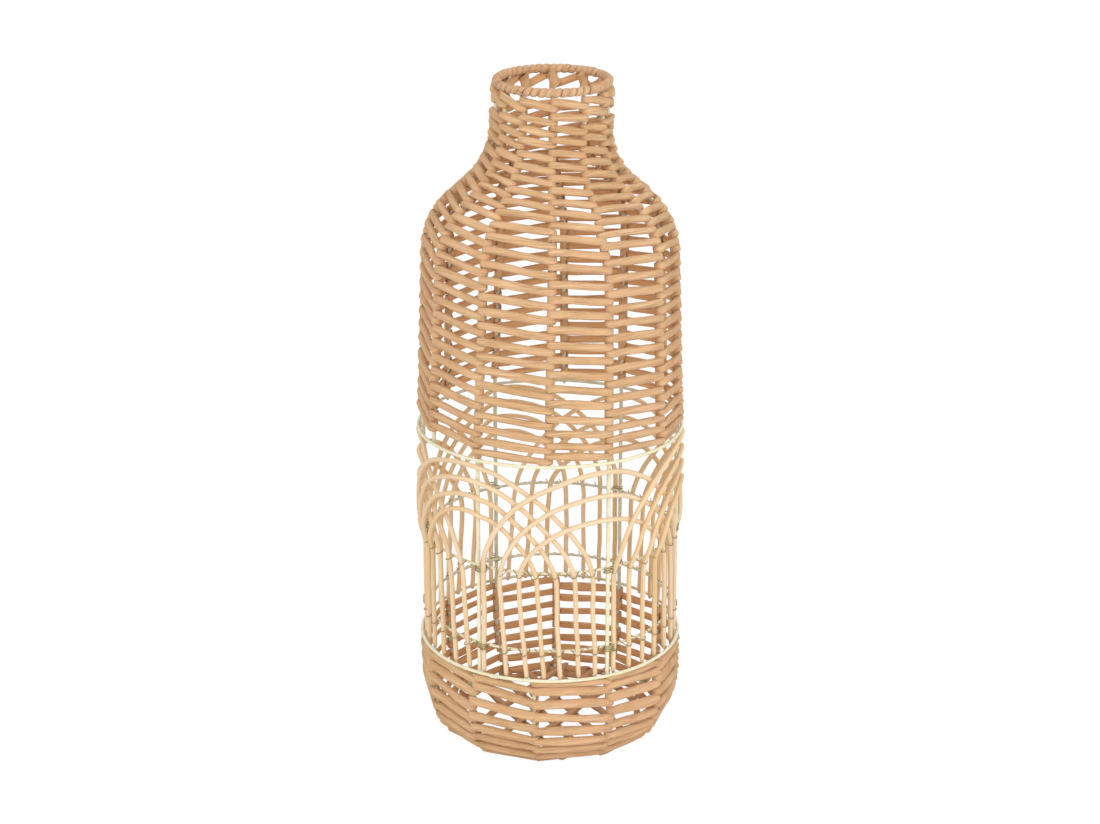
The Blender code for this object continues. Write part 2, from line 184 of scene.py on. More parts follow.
FOOT_SHIFTS = (-4.0, -4.0, 1.0, 0.0, 0.0, 0.0, -2.0, 0.0, 0.0, 0.0, -2.0, -3.0)
BAND_SHIFTS = (0.0, 2.4, -0.9, 0.0, 0.0, -2.0, -2.8, -3.8, 0.0, -1.0, 0.0, 0.0)
BODY_SHIFTS = (2.2, 3.9, 0.0, 1.2, 0.0, -2.0, -5.8, -3.8, -2.1, -1.0, 0.0, 3.4)
SHOULDER_SHIFTS = (2.6, 4.2, -1.4, 2.6, 0.7, -1.3, -4.4, -1.9, -0.4, 0.3, 1.0, 4.6)
NECK_SHIFTS = (3.0, 4.9, 7.6, 6.4, 2.0, 0.0, -1.5, 2.0, 3.0, 3.0, 3.0, 7.0)
SHIFT_HEIGHTS = (CURL_TOP_Z, LOWER_RING_Z, UPPER_RING_Z, WALL_TOP_Z, SHOULDER_Z, RIM_Z - NECK_LENGTH)
NECK_LEAN = 0.0019
NECK_NOD = 0.035


def stake_azimuth(index, height):
    """Where an upright stands at a height; the long ones have even numbers."""
    place = index % STAKES
    lower = FOOT_SHIFTS[place] if place % 2 else BAND_SHIFTS[place]
    above = (shifts[place] for shifts in (BAND_SHIFTS, BODY_SHIFTS, SHOULDER_SHIFTS, NECK_SHIFTS))
    shifts = (FOOT_SHIFTS[place], lower, *above)
    return FIRST_STAKE + STAKE_STEP * index + np.interp(height, SHIFT_HEIGHTS, shifts)


def leaning(points):
    """The neck's lean to the right and its nod to the front, for points anywhere on the vase."""
    start = RIM_Z - NECK_LENGTH - NECK_ARC / 2
    share = smooth_step((points[:, 2] - start) / (RIM_Z - start))
    moved = points.copy()
    moved[:, 0] += NECK_LEAN * share
    moved[:, 2] += NECK_NOD * share * points[:, 1]
    return moved


print("the front uprights stand at", [round(float(stake_azimuth(i, UPPER_RING_Z)), 1) for i in range(3)])

# %% [markdown]
# ## Shader sums as plain Python
#
# A finish is mostly sums: this noise times that mask. Wiring Math nodes by hand hides the sum, so one small
# class wraps a socket and overloads the operators. An expression on its values then adds the nodes.

# %% A socket that does sums


class Value:
    """A node's output, used like a number."""

    def __init__(self, finish, socket):
        self.finish = finish
        self.socket = socket

    def math(self, operation, first, second=None):
        inputs = {0: first} if second is None else {0: first, 1: second}
        return self.finish.node("ShaderNodeMath", {"operation": operation}, inputs)

    def __add__(self, other):
        return self.math("ADD", self, other)

    def __sub__(self, other):
        return self.math("SUBTRACT", self, other)

    def __rsub__(self, other):
        return self.math("SUBTRACT", other, self)

    def __mul__(self, other):
        return self.math("MULTIPLY", self, other)

    __radd__ = __add__
    __rmul__ = __mul__

    def cosine(self):
        return self.math("COSINE", self)

    def sine(self):
        return self.math("SINE", self)

    def size(self):
        return self.math("ABSOLUTE", self)

    def between(self, low, high):
        """0 below low, 1 above high, and smooth between them."""
        inputs = {"Value": self, "From Min": low, "From Max": high}
        return self.finish.node("ShaderNodeMapRange", {"interpolation_type": "SMOOTHSTEP"}, inputs)


class Finish:
    """A material whose nodes all come from one method."""

    def __init__(self, name, **sockets):
        self.material = bpy.data.materials.new(name)
        self.material.use_nodes = True
        self.tree = self.material.node_tree
        self.shader = self.tree.nodes["Principled BSDF"]
        for socket, value in sockets.items():
            self.shader.inputs[socket.replace("_", " ")].default_value = value

    def node(self, kind, settings=None, inputs=None, output=0):
        """Adds a node: settings first, then its sockets' values or links. Returns one output as a Value."""
        added = self.tree.nodes.new(kind)
        for setting, value in (settings or {}).items():
            setattr(added, setting, value)
        for socket, value in (inputs or {}).items():
            self.put(added.inputs[socket], value)
        return Value(self, added.outputs[output])

    def put(self, socket, value):
        if isinstance(value, Value):
            self.tree.links.new(value.socket, socket)
        else:
            socket.default_value = value

    def vector(self, x, y, z):
        return self.node("ShaderNodeCombineXYZ", {}, {0: x, 1: y, 2: z})

    def noise(self, vector, scale, detail=2.0, roughness=0.5):
        inputs = {"Vector": vector, "Scale": scale, "Detail": detail, "Roughness": roughness}
        return self.node("ShaderNodeTexNoise", {}, inputs)

    def mix(self, share, first, second):
        """One colour shading into another."""
        settings = {"data_type": "RGBA"}
        return self.node("ShaderNodeMix", settings, {0: share, 6: first, 7: second}, output=2)

    def bump(self, height, distance, strength):
        inputs = {"Height": height, "Distance": distance, "Strength": strength}
        return self.node("ShaderNodeBump", {}, inputs)

    def place(self):
        """The object's own coordinates, which are metres here."""
        return self.node("ShaderNodeTexCoord", output=3)

    def along_and_round(self):
        """The strand's own map: metres along it and turns round it."""
        strand_map = self.node("ShaderNodeUVMap", {"uv_map": "Strand"})
        run = self.node("ShaderNodeSeparateXYZ", {}, {0: strand_map})
        return run, Value(self, run.socket.node.outputs[1])

    def on_strand(self, angle, run, around, along):
        """A place for grain on a cylinder wrapped round the strand."""
        return self.vector(angle.cosine() * around, angle.sine() * around, run * along)

    def wear(self, **sockets):
        for socket, value in sockets.items():
            self.put(self.shader.inputs[socket.replace("_", " ")], value)
        return self.material


def colour(red, green, blue):
    """A colour written as a screen shows it, turned into the light that a shader wants."""
    channels = np.array([red, green, blue]) / 255.0
    light = np.where(channels <= 0.04045, channels / 12.92, ((channels + 0.055) / 1.055) ** 2.4)
    return (*light.tolist(), 1.0)


# %% [markdown]
# ## One tool for every strand
#
# Cord, stick and wire are all long and thin, so one function sweeps an oval along a path. It is given the
# path, the direction that the broad side faces, and the width and thickness at each point. It also gives
# each corner of a face its distance along the strand in metres and its share of the turn round it, so that
# grain can follow the strand.

# %% Sweep an oval along a path


def directions(points, closed=False):
    if closed:
        return unit(np.roll(points, -1, axis=0) - np.roll(points, 1, axis=0))
    return unit(np.gradient(points, axis=0))


def carried(points, first):
    """Sideways directions that turn no more than the path does."""
    found = []
    current = np.asarray(first, float)
    for way in directions(points):
        current = current - way * (current @ way)
        current = current / np.linalg.norm(current)
        found.append(current)
    return np.array(found)


END_TAPER = 0.55
RIDGES = 3.0


def strand(
    points, facing, width, thickness, sides=12, square=2.0, closed=False, ridge=0.0, lay=0.05, start=0.0
):
    """Corners, four-sided faces and maps of one strand. Square above 2 flattens the oval's sides, ridge is
    the height of the twisted ridges, lay is the length of one twist, and start shifts the grain."""
    points = np.asarray(points, float)
    count = len(points)
    along = directions(points, closed)
    across = unit(np.cross(facing, along))
    outward = np.cross(along, across)
    steps = np.linalg.norm(np.diff(points, axis=0, append=points[:1]), axis=1)
    travelled = start + np.concatenate([[0.0], np.cumsum(steps)])
    width, thickness = (np.broadcast_to(size, count).astype(float).copy() for size in (width, thickness))
    if not closed:
        for size in (width, thickness):
            size[[0, -1]] *= END_TAPER
    turn = np.arange(sides) * math.tau / sides
    cos, sin = (np.sign(wave) * np.abs(wave) ** (2.0 / square) for wave in (np.cos(turn), np.sin(turn)))
    swell = 1.0 + ridge * np.sin(RIDGES * turn[None, :] + math.tau * travelled[:count, None] / lay)
    corners = points[:, None, :]
    corners = corners + (across * width[:, None] / 2)[:, None, :] * (cos * swell)[:, :, None]
    corners = corners + (outward * thickness[:, None] / 2)[:, None, :] * (sin * swell)[:, :, None]
    rings = count if closed else count - 1
    ring, side = (grid.ravel() for grid in np.meshgrid(np.arange(rings), np.arange(sides), indexing="ij"))
    after = (ring + 1) % count
    beside = (side + 1) % sides
    here, ahead = ring * sides, after * sides
    faces = np.stack([here + side, here + beside, ahead + beside, ahead + side], 1)
    run = travelled[np.stack([ring, ring, ring + 1, ring + 1], 1)]
    turned = np.stack([side, side + 1, side + 1, side], 1) / sides
    ends = [] if closed else [np.arange(sides)[::-1], (count - 1) * sides + np.arange(sides)]
    return {
        "corners": corners.reshape(-1, 3),
        "faces": faces,
        "ends": ends,
        "run": run,
        "turned": turned,
        "length": travelled[rings] - start,
    }


# %% [markdown]
# ## From strands to a piece
#
# A whole winding is one strand of many metres. Baked colours need it laid out flat without waste, so a
# second map sets it in rows, like lines of writing. Then all the strands of a piece become one mesh, which
# rides on the frame and stands for the solids that it replaces.

# %% Lay strands out and make a piece of them

ROW_HEIGHT = 0.014
ROW_SPARE = 0.012
ROW_SLACK = 1.02
ROW_MARGIN = 0.04
ROW_USED = 0.92
CAP_SIZE = 0.0004


def bake_rows(strands):
    """Lays all strands end to end and cuts the line into rows that fill a square."""
    total = sum(piece["length"] for piece in strands)
    rows = max(1, round(math.sqrt(total / ROW_HEIGHT)))
    row_length = total / rows * ROW_SLACK + ROW_SPARE
    used = row_length - ROW_SPARE
    maps = []
    passed = 0.0
    for piece in strands:
        first = piece["run"][:, 0] - piece["run"][0, 0] + passed
        row = np.minimum(first // used, rows)
        along = (first - row * used)[:, None] + piece["run"] - piece["run"][:, :1]
        across = (row[:, None] + ROW_MARGIN + ROW_USED * piece["turned"]) / (rows + 1)
        maps.append(np.stack([along / row_length, across], -1))
        passed += piece["length"]
    return maps


def make_piece(name, strands, material, replaces=(), tint=None):
    """One object from one or more strands, riding on the frame and standing for its solids. It is pressed
    flat where it meets the table."""
    corners = leaning(np.concatenate([piece["corners"] for piece in strands]))
    corners[:, 2] = np.maximum(corners[:, 2], 0.0)
    offsets = np.cumsum([0] + [len(piece["corners"]) for piece in strands])
    faces = []
    strand_map = []
    bake_map = []
    for piece, offset, baked in zip(strands, offsets, bake_rows(strands)):
        faces.extend((piece["faces"] + offset).tolist())
        strand_map.append(np.stack([piece["run"], piece["turned"]], -1).reshape(-1, 2))
        bake_map.append(baked.reshape(-1, 2))
        for which, end in enumerate(piece["ends"]):
            faces.append((end + offset).tolist())
            turn = end % len(end) / len(end) * math.tau
            spot = strand_map[-1][-1 if which else 0][0]
            strand_map.append(np.stack([np.full(len(end), spot), turn / math.tau], -1))
            middle = bake_map[-1][-1 if which else 0]
            bake_map.append(middle + CAP_SIZE * np.stack([np.cos(turn), np.sin(turn)], -1))
    mesh = bpy.data.meshes.new(name)
    mesh.from_pydata(corners, [], faces)
    for title, parts in (("Strand", strand_map), ("OFBake", bake_map)):
        layer = mesh.uv_layers.new(name=title)
        layer.uv.foreach_set("vector", np.concatenate(parts).astype(np.float32).ravel())
    if tint is not None:
        attribute = mesh.attributes.new("tint", "FLOAT", "POINT")
        attribute.data.foreach_set("value", np.full(len(corners), tint, np.float32))
    mesh.shade_smooth()
    piece = bpy.data.objects.new(name, mesh)
    piece.data.materials.append(material)
    bpy.context.scene.collection.objects.link(piece)
    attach(piece, "root")
    if replaces:
        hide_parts(*replaces)
    return piece


def wander(rng, distances, size, reach):
    """A slow random drift along a strand, from four waves of unlike length."""
    waves = reach * np.array([1.0, 0.61, 0.37, 0.23])
    phases = rng.uniform(0.0, math.tau, 4)
    weights = rng.uniform(0.5, 1.0, 4) * np.array([1.0, 0.7, 0.5, 0.35])
    parts = zip(weights, waves, phases)
    drift = sum(weight * np.sin(math.tau * distances / wave + phase) for weight, wave, phase in parts)
    return size * drift / 1.5


# %% [markdown]
# ## The paper cord's finish
#
# The cord is kraft paper, twisted and pressed flat. Its colour is a warm tan, its creases run almost
# straight along it with a slow turn, and it is quite matt. Grain is drawn on a cylinder wrapped round the
# strand, so that no seam shows where the turn closes. The side that faces into the vase is mixed towards a
# lighter, warmer colour: painted bounced light from the cords behind it.

# %% Paper cord

TWISTS_PER_METRE = 3.5
INNER_BOUNCE_LIGHT = colour(246, 192, 138)


def paper_cord(name, light, dark, pink):
    finish = Finish(name, Roughness=0.8, Specular_IOR_Level=0.25)
    run, turned = finish.along_and_round()
    angle = (turned + run * TWISTS_PER_METRE) * math.tau
    folds = finish.noise(finish.on_strand(angle, run, 1.9, 14.0), 1.6, 2.0, 0.5)
    fibres = finish.noise(finish.on_strand(angle, run, 7.0, 90.0), 3.0, 2.0, 0.6)
    crease_groove_and_shade = 1.0 - (folds - 0.5).size().between(0.0, 0.03)
    place = finish.place()
    patches = finish.noise(place, 24.0, 2.0)
    drift = finish.noise(place, 9.0, 2.0)
    length_tone = finish.noise(finish.vector(run * 30.0, 0.0, 0.0), 1.0, 2.0)
    # The crease term darkens the colour in a thin line along each crease: painted shade. In the bump it is a
    # real groove.
    tone = folds * 0.45 + fibres * 0.2 + patches * 0.4 + length_tone * 0.4 - crease_groove_and_shade * 0.08
    surface = finish.mix(tone.between(0.45, 0.95), dark, light)
    surface = finish.mix(drift.between(0.35, 0.65), surface, finish.mix(0.35, surface, pink))
    # Painted bounced light: the side that faces into the vase is mixed towards a lighter, warmer colour.
    inside_bounce_light = (0.15 - (turned * math.tau).sine()).between(0.0, 1.0)
    surface = finish.mix(inside_bounce_light * 0.6, surface, INNER_BOUNCE_LIGHT)
    height = folds * 0.9 + fibres * 0.2 - crease_groove_and_shade * 0.3
    return finish.wear(
        Base_Color=surface,
        Roughness=0.9 - fibres * 0.2,
        Normal=finish.bump(height, 0.0007, 0.9),
    )


CORD_COLOURS = (colour(234, 196, 151), colour(211, 164, 114), colour(235, 184, 145))
RIM_COLOURS = (colour(235, 198, 157), colour(208, 160, 114), colour(233, 183, 147))
BASE_COLOURS = (colour(226, 184, 144), colour(200, 153, 110), colour(224, 172, 138))
CORD_FINISH = paper_cord("paper_cord_look", *CORD_COLOURS)
RIM_FINISH = paper_cord("rim_cord_look", *RIM_COLOURS)
BASE_FINISH = paper_cord("base_cord_look", *BASE_COLOURS)
print(CORD_FINISH.name, "has", len(CORD_FINISH.node_tree.nodes), "nodes")

# %% [markdown]
# ## The weave
#
# The weaver carries the cord past each upright wire in front, round behind it, and out in front again, then
# goes on to the next. So each row crosses the front of a wire twice, half a row apart, and the columns look
# like a tight stack while the runs between them leave gaps. The path is worked out in two stretches: a turn
# and a bit round the wire, which climbs half a row behind it, and a straight run that falls back a little
# less than that. Small seeded errors in place, width and slope keep it from looking machined.

# %% The path of a woven cord

CORD_WIDTH = 0.0058
CORD_THICKNESS = 0.0030
WRAP_WIDTH = 0.0050
WRAP_SHARE = 0.55
WRAP_THICKNESS = 0.0016
WRAP_POINTS = 21
RUN_POINTS = 5
RUN_BOW = 0.0006
RUN_PRESS = 0.92
CLEARANCE = 0.0001
LOOSE_LIFT = 0.0004
LEAVE_LIFT = 0.0005
TOUCH_ANGLE = 15.0
CLIMB_START = 70.0
CLIMB_SWEEP = 230.0
LEAVE_START = 280.0
LEAVE_SWEEP = 60.0
PRESSED_IN = 0.8


def row_lengths(start, end, rows, sizes):
    """Where a winding passes each wire, along the wire. Sizes pair a row's number with its height."""
    numbers, heights = zip(*sizes)
    pace = np.interp(np.arange(round(rows * STAKES)) / STAKES, numbers, heights)
    travelled = np.concatenate([[0.0], np.cumsum(pace)])
    return start + (end - start) * travelled / travelled[-1]


def weave_path(lengths, rng, wraps, unevenness=0.0004, climbing=1.0, fatness=1.0, filling=0.54, roll=0.15):
    """Points, facing directions, widths and thicknesses of a cord woven past every wire. Wraps are its
    thicknesses where it goes round them. Climbing is how much of half a row it gains there, filling is how
    much of a row it covers in front, and roll tips its broad side up."""
    points, facing, width, thickness = [], [], [], []
    later_rows = lengths[STAKES:] - lengths[:-STAKES]
    rows = np.concatenate([np.full(STAKES, lengths[STAKES] - lengths[0]), later_rows])
    turn = np.radians(np.linspace(-TOUCH_ANGLE, 360.0 + TOUCH_ANGLE, WRAP_POINTS))
    climb = smooth_step((turn - math.radians(CLIMB_START)) / math.radians(CLIMB_SWEEP)) - 0.5
    climbing = np.broadcast_to(climbing, STAKES)
    pressed = smooth_step(np.minimum(turn - turn[0], turn[-1] - turn) / PRESSED_IN)
    run_share = (np.arange(RUN_POINTS) + 1.0) / (RUN_POINTS + 1)
    sagging = (run_share + smooth_step(run_share)) / 2
    bow = np.sin(math.pi * run_share)
    leaving = smooth_step((turn - math.radians(LEAVE_START)) / math.radians(LEAVE_SWEEP))
    lift = CLEARANCE + LOOSE_LIFT * (1.0 - pressed) + LEAVE_LIFT * leaving
    lengths = lengths + wander(rng, np.arange(len(lengths)), unevenness, 17.0)
    cord_width = CORD_WIDTH * fatness
    for step, (length, row, wrap_thickness) in enumerate(zip(lengths, rows, wraps)):
        slack = rng.normal(0.0, unevenness, 3)
        climbed = climb * climbing[step % STAKES] * row / 2 + np.linspace(*slack[:2], WRAP_POINTS)
        radius, level, out_radial, out_up = on_stake(length + climbed)
        azimuth = stake_azimuth(step, level)
        outward = at(azimuth, out_radial, out_up)
        sideways = at(azimuth + 90.0, 1.0, 0.0)
        way = np.cos(turn)[:, None] * outward + np.sin(turn)[:, None] * sideways
        wrap = at(azimuth, radius, level) + (lift + (STAKE_WIRE + wrap_thickness) / 2)[:, None] * way
        front = min(cord_width, row * filling)
        if points:
            before, after = points[-1][-1], wrap[0]
            share = run_share[:, None]
            run_facing = unit(facing[-1][-1] * (1.0 - share) + way[0] * share)
            run = before + (after - before) * np.stack([run_share, run_share, sagging], 1)
            run = run + run_facing * (bow * (RUN_BOW + slack[2]))[:, None]
            fatter = 1.0 + rng.normal(-0.03, 0.09)
            points.append(run)
            facing.append(unit(run_facing + at(0.0, 0.0, 1.0) * rng.normal(roll, 0.15)))
            width.append(front + (cord_width * fatter - front) * bow)
            thickness.append(CORD_THICKNESS / fatter * (cord_width / (front + (cord_width - front) * bow)))
        points.append(wrap)
        facing.append(unit(way + at(0.0, 0.0, 1.0) * roll * (1.0 - pressed[:, None])))
        wrap_width = max(min(WRAP_WIDTH, front), WRAP_SHARE * row)
        width.append(front + (wrap_width - front) * pressed)
        full = CORD_THICKNESS * (cord_width / front) * RUN_PRESS
        thickness.append(full + (wrap_thickness - full) * pressed)
    points, facing, width, thickness = (np.concatenate(part) for part in (points, facing, width, thickness))
    travelled = np.concatenate([[0.0], np.cumsum(np.linalg.norm(np.diff(points, axis=0), axis=1))])
    width = width * (1.0 + wander(rng, travelled, 0.08, 0.061))
    thickness = thickness * (1.0 + wander(rng, travelled, 0.10, 0.047))
    return points, facing, width, thickness


def woven_strand(path, start=0.0):
    return strand(*path, sides=16, square=3.0, ridge=0.03, lay=0.062, start=start)


# %% [markdown]
# ## Rows that were pushed up and down
#
# A weaver beats each row down by hand, so rows differ in height, and some were pushed out of line later. The
# body and the neck are one winding, cut in two where the shoulder begins. A table gives the height of its
# rows, and smooth bumps and dips give the places where the photo's rows leave that table. The same is done
# for the foot, where the front rows dip most.

# %% Weave the body and the neck

NECK_ROWS = 11.25
BODY_ROWS = 15
BESIDE_RING = 0.0050
BELOW_RIM_CORD = 0.0032
NECK_WRAP_THICKNESS = 0.0013
BACK_DROP = 0.0014
DROP_FROM, DROP_FADE_IN = 17.0, 4.0
DROP_TO, DROP_FADE_OUT = 24.7, 0.6
UPPER_SIZES = (
    (0, 0.0080),
    (2, 0.0086),
    (3, 0.0110),
    (13, 0.0109),
    (15, 0.0093),
    (24.9, 0.0093),
    (25.0, 0.0120),
    (25.5, 0.0120),
    (25.6, 0.0050),
)
UPPER_BUMPS = ((0.0052, 25.5, 0.26), (-0.0026, 24.7, 0.75), (-0.0030, 16.8, 2.8), (-0.0013, 11.0, 3.5))

rng = np.random.default_rng(11)
upper_start = length_at(UPPER_RING_Z) + BESIDE_RING
upper_end = PROFILE_LENGTH[-1] - BELOW_RIM_CORD
upper = row_lengths(upper_start, upper_end, BODY_ROWS + NECK_ROWS, UPPER_SIZES)
passed = np.arange(len(upper))
passed_rows = passed / STAKES
for size, middle, spread in UPPER_BUMPS:
    upper += size * np.exp(-(((passed_rows - middle) / spread) ** 2))
behind = 1.0 - np.cos(np.radians(FIRST_STAKE + STAKE_STEP * passed))
above_shoulder = smooth_step((passed_rows - DROP_FROM) / DROP_FADE_IN)
on_neck = above_shoulder * (1.0 - smooth_step((passed_rows - DROP_TO) / DROP_FADE_OUT))
upper -= BACK_DROP * behind * on_neck
upper_wraps = np.interp(passed_rows, (BODY_ROWS, BODY_ROWS + 4.0), (WRAP_THICKNESS, NECK_WRAP_THICKNESS))
upper_path = weave_path(upper, rng, upper_wraps)
cut = BODY_ROWS * STAKES * (WRAP_POINTS + RUN_POINTS) + WRAP_POINTS // 2
body = tuple(part[: cut + 1] for part in upper_path)
neck = tuple(part[cut:] for part in upper_path)
body_weave = make_piece("body_cord", [woven_strand(body)], CORD_FINISH, ["body_weave"])
neck_weave = make_piece("neck_cord", [woven_strand(neck, 13.0)], CORD_FINISH, ["neck_weave"])
for piece in (body_weave, neck_weave):
    print(piece.name, len(piece.data.polygons), "faces")

# %% Weave the foot

FOOT_ROWS = 8.25
FOOT_START = 0.0026
FOOT_SIZES = (
    (3.0, 0.0078),
    (4.6, 0.0110),
    (5.6, 0.0119),
    (6.6, 0.0105),
    (6.9, 0.0105),
    (7.0, 0.0130),
    (7.4, 0.0130),
    (7.5, 0.0030),
)
FOOT_DIPS = (-0.0028, -0.0002, 0.0026, 0.0010, 0.0, 0.0, 0.0, 0.0, 0.0, 0.0, 0.0, -0.0010)
DIP_FADE_IN = 2.5
DIP_FROM, DIP_FADE_OUT = 6.0, 1.5
DIP_LOSS = 0.8
FOOT_CLIMB = 0.85
STEEP_STAKE = 1
STEEP_CLIMB = 1.7

foot = row_lengths(FOOT_START, length_at(LOWER_RING_Z) - BESIDE_RING, FOOT_ROWS, FOOT_SIZES)
foot_rows = np.arange(len(foot)) / STAKES
held_above = DIP_LOSS * smooth_step((foot_rows - DIP_FROM) / DIP_FADE_OUT)
free = smooth_step(foot_rows / DIP_FADE_IN) * (1.0 - held_above)
foot += np.resize(FOOT_DIPS, len(foot)) * free
foot_climbing = np.full(STAKES, FOOT_CLIMB)
foot_climbing[STEEP_STAKE] = STEEP_CLIMB
foot_wraps = np.full(len(foot), WRAP_THICKNESS)
foot_path = weave_path(
    foot, rng, foot_wraps, unevenness=0.0006, climbing=foot_climbing, fatness=1.17, filling=0.6, roll=0.35
)
foot_cord = woven_strand(foot_path, 29.0)
foot_weave = make_piece("foot_cord", [foot_cord], CORD_FINISH, ["foot_weave"])
print(foot_weave.name, len(foot_weave.data.polygons), "faces")

# %% [markdown]
# ## The rim
#
# The mouth is a wire ring bound all round with the same cord, wrapped so close that the turns touch. Each
# turn is pressed a little differently, which gives the rim its beaded outline.

# %% Bind the rim

RIM_TURNS = 48
TURN_POINTS = 16


def bound_ring(ring_radius, height, turns, coil_radius, width, thickness, rng):
    """The strand of a cord wound round a ring, with a fullness of its own for each turn."""
    count = turns * TURN_POINTS
    step = np.arange(count + 1)
    turn = math.tau * step / TURN_POINTS
    uneven = rng.normal(0.0, 1.0, turns + 2)
    fullness = np.interp(step / TURN_POINTS, np.arange(turns + 2), uneven)
    azimuth = FIRST_STAKE + 360.0 * (step + 1.2 * fullness) / count
    radius = coil_radius * (1.0 + 0.03 * fullness)
    points = at(azimuth, ring_radius + radius * np.cos(turn), height + radius * np.sin(turn))
    facing = at(azimuth, np.cos(turn), np.sin(turn))
    widths = width * (1.0 + 0.05 * fullness)
    return strand(points, facing, widths, thickness * (1.0 + 0.08 * fullness), ridge=0.04)


rim_cord = bound_ring(
    NECK_RADIUS, RIM_Z, RIM_TURNS, coil_radius=0.0020, width=0.0049, thickness=0.0025, rng=rng
)
rim = make_piece("rim_cord", [rim_cord], RIM_FINISH, ["rim_wrap"])
print(rim.name, len(rim.data.polygons), "faces")

# %% [markdown]
# ## Painted wire
#
# The frame's wires are sprayed cream from outside, and the spray hardly reaches their inner sides, which
# stay grey-green. The finish compares the way that a face points with the way out from the vase's axis, so
# the two colours fall where the spray would put them. The solids have few sides, so rounder wires stand for
# them. The rim's wire is hidden under its cord and is drawn thinner, so that it stays inside the turns.

# %% Painted wire


def painted_wire():
    finish = Finish("painted_wire_look", Roughness=0.42, Specular_IOR_Level=0.4)
    geometry = finish.node("ShaderNodeNewGeometry", output=1)
    place = finish.place()
    flat = finish.node("ShaderNodeVectorMath", {"operation": "MULTIPLY"}, {0: place, 1: (1.0, 1.0, 0.0)})
    out = finish.node("ShaderNodeVectorMath", {"operation": "NORMALIZE"}, {0: flat})
    dot = {"operation": "DOT_PRODUCT"}
    facing = finish.node("ShaderNodeVectorMath", dot, {0: geometry, 1: out}, output=1)
    blotches = finish.noise(place, 160.0, 3.0)
    painted = (facing + blotches * 0.8).between(0.0, 0.9)
    cream = finish.mix(blotches.between(0.35, 0.7), colour(238, 231, 192), colour(246, 241, 214))
    bare = finish.mix(blotches.between(0.3, 0.7), colour(204, 206, 182), colour(230, 229, 206))
    return finish.wear(
        Base_Color=finish.mix(painted, bare, cream),
        Roughness=0.36 + blotches * 0.2,
        Normal=finish.bump(blotches, 0.0003, 0.5),
    )


WIRE_FINISH = painted_wire()
WIRE_SIDES = 10
RING_POINTS = 144
HIDDEN_SHARE = 0.6


def wire_strand(points, thickness, first, sides=WIRE_SIDES):
    return strand(points, carried(points, first), thickness, thickness, sides=sides)


def wire_ring(name, node, radius, height, thickness):
    azimuth = np.arange(RING_POINTS) * 360.0 / RING_POINTS
    points = at(azimuth, radius, height)
    ring = strand(points, at(azimuth, 1.0, 0.0), thickness, thickness, sides=WIRE_SIDES, closed=True)
    return make_piece(name, [ring], WIRE_FINISH, [node])


wire_ring("ring_wire_lower", "lower_ring", RING_RADIUS, LOWER_RING_Z, RING_WIRE)
wire_ring("ring_wire_upper", "upper_ring", RING_RADIUS, UPPER_RING_Z, RING_WIRE)
wire_ring("tie_wire_lower", "tie_ring_lower", TIE_RADIUS, LOWER_TIE_Z, TIE_RING_WIRE)
wire_ring("tie_wire_upper", "tie_ring_upper", TIE_RADIUS, UPPER_TIE_Z, TIE_RING_WIRE)
wire_ring("rim_wire_round", "rim_wire", NECK_RADIUS, RIM_Z, RIM_WIRE * HIDDEN_SHARE)

# %% Upright wires

UPRIGHT_STEP = 0.004
BELOW_LOWER_RING = 0.0003


def upright(name, node, index, low, high):
    radius, height, _, _ = on_stake(np.append(np.arange(low, high, UPRIGHT_STEP), high))
    azimuth = stake_azimuth(index, height)
    points = at(azimuth, radius, height)
    wire = wire_strand(points, STAKE_WIRE, at(azimuth[0] + 90.0, 1.0, 0.0))
    make_piece(name, [wire], WIRE_FINISH, [node])


rim_end = PROFILE_LENGTH[-1]
above_band = length_at(UPPER_RING_Z - RING_WIRE / 2)
below_band = length_at(LOWER_RING_Z - BELOW_LOWER_RING)
for number in range(1, LONG_STAKES + 1):
    index = 2 * number - 1
    upright(f"upright_long_{number}", f"stake_long_{number}", index - 1, 0.0, rim_end)
    upright(f"upright_upper_{number}", f"stake_upper_{number}", index, above_band, rim_end)
    upright(f"upright_lower_{number}", f"stake_lower_{number}", index, 0.0, below_band)
print("uprights:", 3 * LONG_STAKES)

# %% [markdown]
# ## Rattan sticks
#
# Peeled rattan is soaked and bent, then it dries in its new shape. Each stick rises as a leg, bends over as
# half an oval and comes down behind the next long upright. Its rising half lies over its neighbours and its
# falling half goes under them, as the real lattice is laid. No two sticks have quite the same colour, so
# each mesh carries a number that its finish reads.

# %% Rattan finish


def rattan():
    finish = Finish("rattan_stick_look", Roughness=0.55, Specular_IOR_Level=0.35)
    run, turned = finish.along_and_round()
    angle = turned * math.tau
    grain = finish.noise(finish.on_strand(angle, run, 4.0, 22.0), 3.0, 3.0, 0.65)
    streaks = finish.noise(finish.on_strand(angle, run, 1.2, 14.0), 1.3, 2.0)
    tint = finish.node("ShaderNodeAttribute", {"attribute_name": "tint"}, output=2)
    pale = finish.mix(tint, colour(250, 227, 194), colour(246, 217, 170))
    deep = finish.mix(tint, colour(238, 203, 158), colour(232, 191, 134))
    tone = grain * 0.6 + streaks * 0.6
    return finish.wear(
        Base_Color=finish.mix(tone.between(0.4, 0.8), deep, pale),
        Roughness=0.48 + grain * 0.2,
        Normal=finish.bump(grain, 0.0003, 0.6),
    )


STICK_FINISH = rattan()

# %% Bend the sticks

